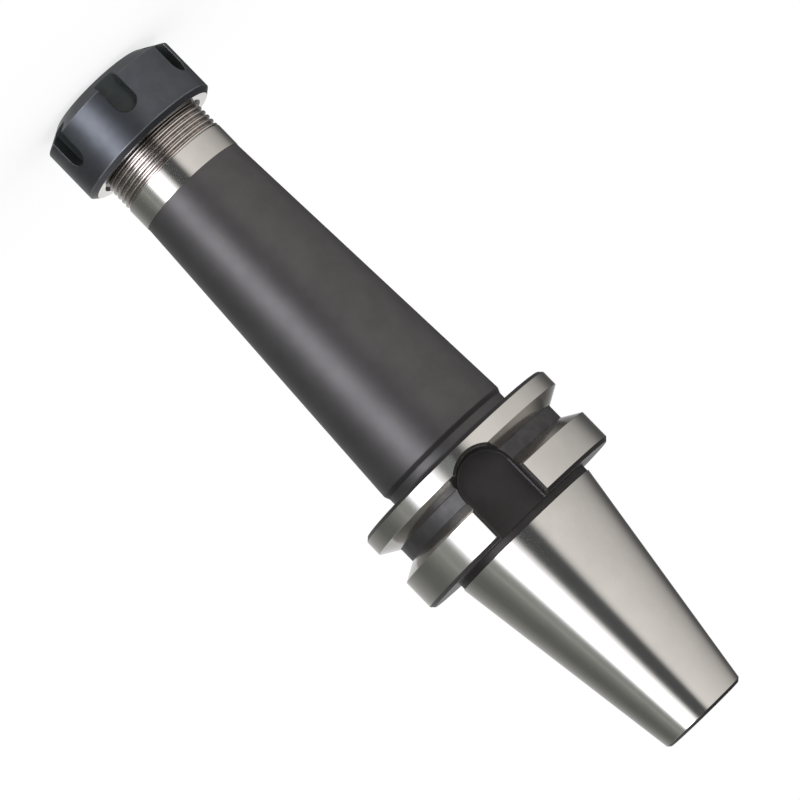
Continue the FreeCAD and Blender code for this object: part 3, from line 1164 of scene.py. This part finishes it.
# The ring of panels that bright steel mirrors, and the softer ring over it: (angle, level, tint), with
# the angle in degrees from the camera, positive to its left
PLAIN, WARM, COOL = (1.0, 1.0, 1.0), (1.0, 0.985, 0.96), (0.93, 1.0, 1.02)
GREEN, LAMP = (0.95, 1.0, 0.94), (0.97, 1.0, 1.06)
PANELS = (
    (-180, 0.95, PLAIN),
    (-166, 0.6, PLAIN),
    (-150, 0.42, PLAIN),
    (-130, 0.27, GREEN),
    (-115, 0.17, GREEN),
    (-100, 0.17, GREEN),
    (-91, 0.22, GREEN),
    (-79, 0.33, GREEN),
    (-76, 0.45, PLAIN),
    (-73, 0.33, GREEN),
    (-64, 0.37, GREEN),
    (-60, 0.9, LAMP),
    (-57, 1.7, LAMP),
    (-52, 4.5, LAMP),
    (-33, 4.5, LAMP),
    (-27, 1.7, LAMP),
    (-21, 1.0, PLAIN),
    (-17, 0.3, COOL),
    (-13, 0.1, COOL),
    (7, 0.1, COOL),
    (11, 0.42, PLAIN),
    (14, 0.8, WARM),
    (21, 1.04, WARM),
    (48, 0.94, WARM),
    (84, 0.77, WARM),
    (106, 0.62, WARM),
    (120, 0.48, WARM),
    (137, 0.2, PLAIN),
    (150, 0.1, PLAIN),
    (164, 0.1, PLAIN),
    (172, 0.3, PLAIN),
    (180, 0.95, PLAIN),
)
OVERHEAD = (
    (-180, 0.5, PLAIN),
    (-150, 0.7, PLAIN),
    (-90, 0.6, PLAIN),
    (-40, 0.4, PLAIN),
    (0, 0.14, PLAIN),
    (150, 0.14, PLAIN),
    (180, 0.5, PLAIN),
)


def build_surroundings(shader, plain_light):
    """Soft light all round for the rough finishes, and for the bright ones a ring of pale and dark
    panels to mirror, against a white background."""
    direction = shader.node(
        "ShaderNodeSeparateXYZ", inputs={0: shader.out("ShaderNodeTexCoord", output="Generated")}
    )
    x, y, z = (Value(shader, socket) for socket in direction.outputs)
    front = x * math.sin(CAMERA_AZIMUTH) - y * math.cos(CAMERA_AZIMUTH)
    left = 0 - x * math.cos(CAMERA_AZIMUTH) - y * math.sin(CAMERA_AZIMUTH)
    turn = shader.math("ARCTAN2", left, front) / math.tau + 0.5
    panels, overhead = (
        shader.out(
            "ShaderNodeValToRGB",
            settings={"stops": [(0.5 + angle / 360, grey(level, tint)) for angle, level, tint in ring]},
            inputs={0: turn},
        )
        for ring in (PANELS, OVERHEAD)
    )
    low_panel = shader.line(turn, 0.5 - 10 / 360, 10 / 360) * shader.line(z, -0.047, 0.035)
    mirrored = shader.mix(low_panel, panels, grey(0.4, COOL))
    mirrored = shader.mix(shader.smooth(z, 0.4, 0.75), mirrored, overhead)
    mirrored = shader.mix(shader.smooth(z, -0.4, -0.8), mirrored, grey(0.35))
    rays = shader.node("ShaderNodeLightPath").outputs
    mirrors = shader.math(
        "MAXIMUM",
        Value(shader, rays["Is Glossy Ray"]),
        Value(shader, rays["Is Transmission Ray"]),
    )
    plain = shader.out("ShaderNodeBackground", inputs={0: grey(1.0), 1: plain_light})
    studio = shader.out("ShaderNodeBackground", inputs={0: mirrored, 1: 1.0})
    white = shader.out("ShaderNodeBackground", inputs={0: grey(1.0), 1: 1.0})
    light = shader.out("ShaderNodeMixShader", inputs={0: mirrors, 1: plain, 2: studio})
    shown = shader.out(
        "ShaderNodeMixShader", inputs={0: Value(shader, rays["Is Camera Ray"]), 1: light, 2: white}
    )
    shader.node("ShaderNodeOutputWorld", inputs={0: shown})


class CHUCK_OT_stage(bpy.types.Operator):
    """Sets up the floor, the surrounding light and the camera"""

    bl_idname = "chuck.stage"
    bl_label = "Stage"

    def execute(self, context):
        scene = context.scene
        scene.view_settings.view_transform = "Standard"
        select_none()
        bpy.ops.mesh.primitive_circle_add(
            vertices=64, radius=12.0, fill_type="NGON", location=(0, 0, -0.0002)
        )
        floor = named("floor")
        bpy.ops.object.transform_apply()
        floor.visible_glossy = False
        floor.visible_shadow = False
        floor.data.materials.append(finish("pale floor"))

        world = bpy.data.worlds.new("surroundings")
        world.use_nodes = True
        world.cycles.sampling_method = "NONE"
        build_surroundings(Shader(world.node_tree), scene.chuck_finishes.plain_light)
        scene.world = world

        select_none()
        bpy.ops.object.camera_add()
        camera = context.object
        camera.name = "camera"
        camera.data.lens = CAMERA_LENS
        camera.data.sensor_width = 36.0
        place = Vector(
            (
                CAMERA_DISTANCE * math.sin(CAMERA_AZIMUTH),
                -CAMERA_DISTANCE * math.cos(CAMERA_AZIMUTH),
                CAMERA_HEIGHT,
            )
        )
        camera.matrix_world = (
            Matrix.Translation(place)
            @ Matrix.Rotation(CAMERA_AZIMUTH, 4, "Z")
            @ Matrix.Rotation(math.pi / 2 - CAMERA_TILT, 4, "X")
            @ Matrix.Rotation(CAMERA_ROLL, 4, "Z")
        )
        scene.camera = camera
        return {"FINISHED"}


# Sidebar and start


class CHUCK_PT_panel(bpy.types.Panel):
    bl_label = "Collet Chuck Holder"
    bl_idname = "CHUCK_PT_panel"
    bl_space_type = "VIEW_3D"
    bl_region_type = "UI"
    bl_category = "Chuck"

    def draw(self, context):
        layout = self.layout
        for group in (context.scene.chuck_sizes, context.scene.chuck_finishes):
            box = layout.box()
            for name in group.__annotations__:
                box.prop(group, name)
        for operator in OPERATORS:
            layout.operator(operator.bl_idname)


OPERATORS = (CHUCK_OT_holder, CHUCK_OT_threads, CHUCK_OT_collet, CHUCK_OT_nut, CHUCK_OT_stage)
CLASSES = (ChuckSizes, ChuckFinishes, *OPERATORS, CHUCK_PT_panel)


def register():
    for cls in CLASSES:
        bpy.utils.register_class(cls)
    bpy.types.Scene.chuck_sizes = bpy.props.PointerProperty(type=ChuckSizes)
    bpy.types.Scene.chuck_finishes = bpy.props.PointerProperty(type=ChuckFinishes)


def unregister():
    del bpy.types.Scene.chuck_finishes
    del bpy.types.Scene.chuck_sizes
    for cls in reversed(CLASSES):
        bpy.utils.unregister_class(cls)


def main():
    register()
    bpy.ops.chuck.holder()
    bpy.ops.chuck.threads()
    bpy.ops.chuck.collet()
    bpy.ops.chuck.nut()
    bpy.ops.chuck.stage()


if __name__ == "__main__":
    main()
